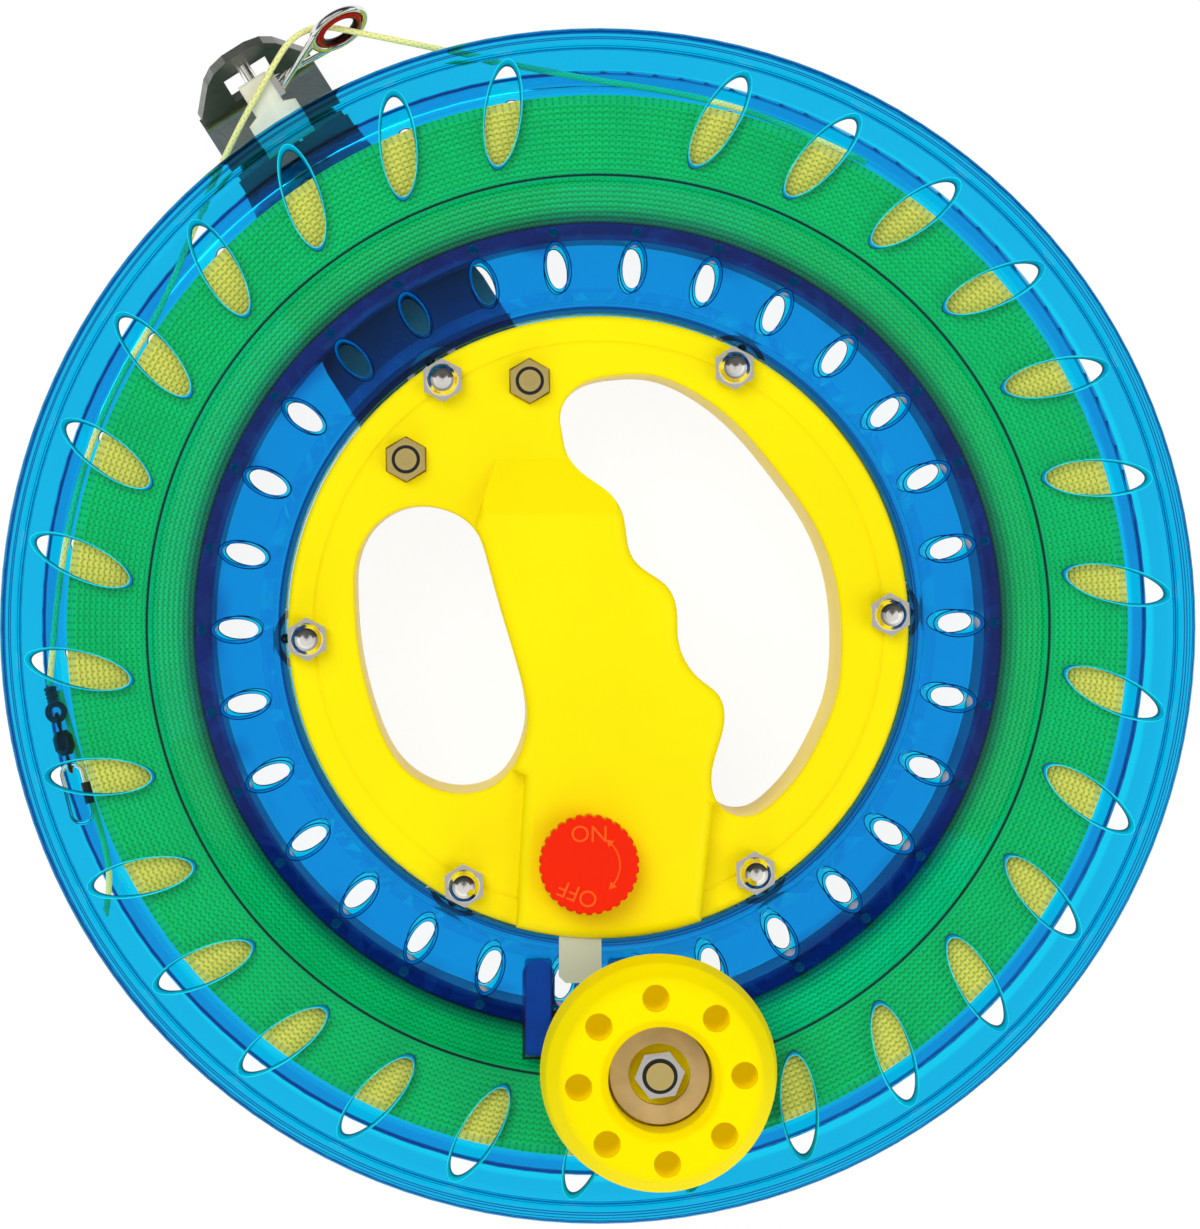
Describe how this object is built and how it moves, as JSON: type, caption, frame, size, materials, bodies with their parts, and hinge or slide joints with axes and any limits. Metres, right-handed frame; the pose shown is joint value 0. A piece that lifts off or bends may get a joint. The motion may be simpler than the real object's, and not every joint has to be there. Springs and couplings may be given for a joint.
{
  "type": "kite line winder",
  "caption": "Hand-held kite line reel: a clear ring spool turns on ball bearings round a two-opening hub, with a turning knob, a twist lock and a swinging line guide.",
  "frame": {"origin": "on the spool's axis at the hub's back face", "axes": "+Z along the spool's axis towards the crank side; +Y away from the lock, across the grip's length; the line guide's arm points 122.4 degrees from +X towards +Y"},
  "size_m": [0.22, 0.2242, 0.0655],
  "materials": {
    "clear_blue": "clear, glossy",
    "yellow_plastic": "smooth, slightly glossy",
    "red_plastic": "satin",
    "white_plastic": "satin",
    "cream_nylon": "waxy",
    "black_nylon": "matt",
    "zinc_steel": "bright",
    "gold_steel": "yellow passivated",
    "bracket_steel": "dull",
    "bearing_steel": "polished",
    "chrome_wire": "polished",
    "line_fibre": "braided"
  },
  "bodies": {
    "hub": {"handle_back": "yellow_plastic", "handle_front": "yellow_plastic", "housing_bolts": "zinc_steel", "dome_nuts": "zinc_steel", "bearing_inner_rings": "bearing_steel", "bearing_balls": "bearing_steel", "guide_arm": "bracket_steel", "guide_arm_screws": "gold_steel", "guide_arm_nuts": "gold_steel", "guide_arm_nut_inserts": "black_nylon", "guide_pivot_rod": "zinc_steel", "free_line_lead": "line_fibre", "free_line_tail": "line_fibre", "free_line_end": "line_fibre", "line_knot": "line_fibre", "swivel_barrel": "bracket_steel", "swivel_eyes": "bracket_steel", "swivel_snap": "zinc_steel", "snap_clasp": "black_nylon"},
    "spool": {"front_flange": "clear_blue", "back_flange": "clear_blue", "drum": "clear_blue", "bearing_rail": "clear_blue", "joining_pins": "clear_blue", "line_pack": "line_fibre", "crank_bolt": "gold_steel", "crank_sleeve": "zinc_steel", "crank_nut": "zinc_steel", "crank_nut_insert": "black_nylon"},
    "crank": {"crank_knob": "yellow_plastic", "crank_washer": "cream_nylon"},
    "lock_dial": {"lock_knob": "red_plastic", "lock_pinion": "white_plastic"},
    "lock_bar": {"lock_tongue": "white_plastic"},
    "line_guide": {"guide_block": "cream_nylon", "guide_eye_frame": "chrome_wire", "guide_eye_liner": "red_plastic"},
    "bearing_ring_1": {"bearing_outer_ring_1": "bearing_steel"},
    "bearing_ring_2": {"bearing_outer_ring_2": "bearing_steel"},
    "bearing_ring_3": {"bearing_outer_ring_3": "bearing_steel"},
    "bearing_ring_4": {"bearing_outer_ring_4": "bearing_steel"},
    "bearing_ring_5": {"bearing_outer_ring_5": "bearing_steel"},
    "bearing_ring_6": {"bearing_outer_ring_6": "bearing_steel"}
  },
  "joints": [
    {"name": "spool_turn", "type": "hinge", "parent": "hub", "child": "spool", "pos_m": [0, 0, 0.02], "axis": [0, 0, 1], "continuous": true},
    {"name": "bearing_1_turn", "type": "hinge", "parent": "hub", "child": "bearing_ring_1", "pos_m": [0.05375, 0.00225, 0.02], "axis": [0, 0, 1], "continuous": true},
    {"name": "bearing_2_turn", "type": "hinge", "parent": "hub", "child": "bearing_ring_2", "pos_m": [0.02492, 0.04768, 0.02], "axis": [0, 0, 1], "continuous": true},
    {"name": "bearing_3_turn", "type": "hinge", "parent": "hub", "child": "bearing_ring_3", "pos_m": [-0.02883, 0.04543, 0.02], "axis": [0, 0, 1], "continuous": true},
    {"name": "bearing_4_turn", "type": "hinge", "parent": "hub", "child": "bearing_ring_4", "pos_m": [-0.05375, -0.00225, 0.02], "axis": [0, 0, 1], "continuous": true},
    {"name": "bearing_5_turn", "type": "hinge", "parent": "hub", "child": "bearing_ring_5", "pos_m": [-0.02492, -0.04768, 0.02], "axis": [0, 0, 1], "continuous": true},
    {"name": "bearing_6_turn", "type": "hinge", "parent": "hub", "child": "bearing_ring_6", "pos_m": [0.02883, -0.04543, 0.02], "axis": [0, 0, 1], "continuous": true},
    {"name": "crank_spin", "type": "hinge", "parent": "spool", "child": "crank", "pos_m": [0.01048, -0.08072, 0.05], "axis": [0, 0, 1], "continuous": true},
    {"name": "lock_turn", "type": "hinge", "parent": "hub", "child": "lock_dial", "pos_m": [-0.002, -0.0434, 0.035], "axis": [0, 0, 1], "range_deg": [-180, 0]},
    {"name": "lock_slide", "type": "slide", "parent": "hub", "child": "lock_bar", "axis": [0, 1, 0], "range_m": [0, 0.00695]},
    {"name": "guide_swing", "type": "hinge", "parent": "hub", "child": "line_guide", "pos_m": [-0.06055, 0.09541, 0.0264], "axis": [-0.5358, 0.8443, 0], "range_deg": [-120, 30], "deforming": ["free_line_lead", "free_line_tail"]}
  ],
  "couplings": [
    {"joint": "bearing_1_turn", "follows": "spool_turn", "ratio": 9.2923},
    {"joint": "bearing_2_turn", "follows": "spool_turn", "ratio": 9.2923},
    {"joint": "bearing_3_turn", "follows": "spool_turn", "ratio": 9.2923},
    {"joint": "bearing_4_turn", "follows": "spool_turn", "ratio": 9.2923},
    {"joint": "bearing_5_turn", "follows": "spool_turn", "ratio": 9.2923},
    {"joint": "bearing_6_turn", "follows": "spool_turn", "ratio": 9.2923},
    {"joint": "lock_slide", "follows": "lock_turn", "m_per_rad": -0.0022}
  ]
}
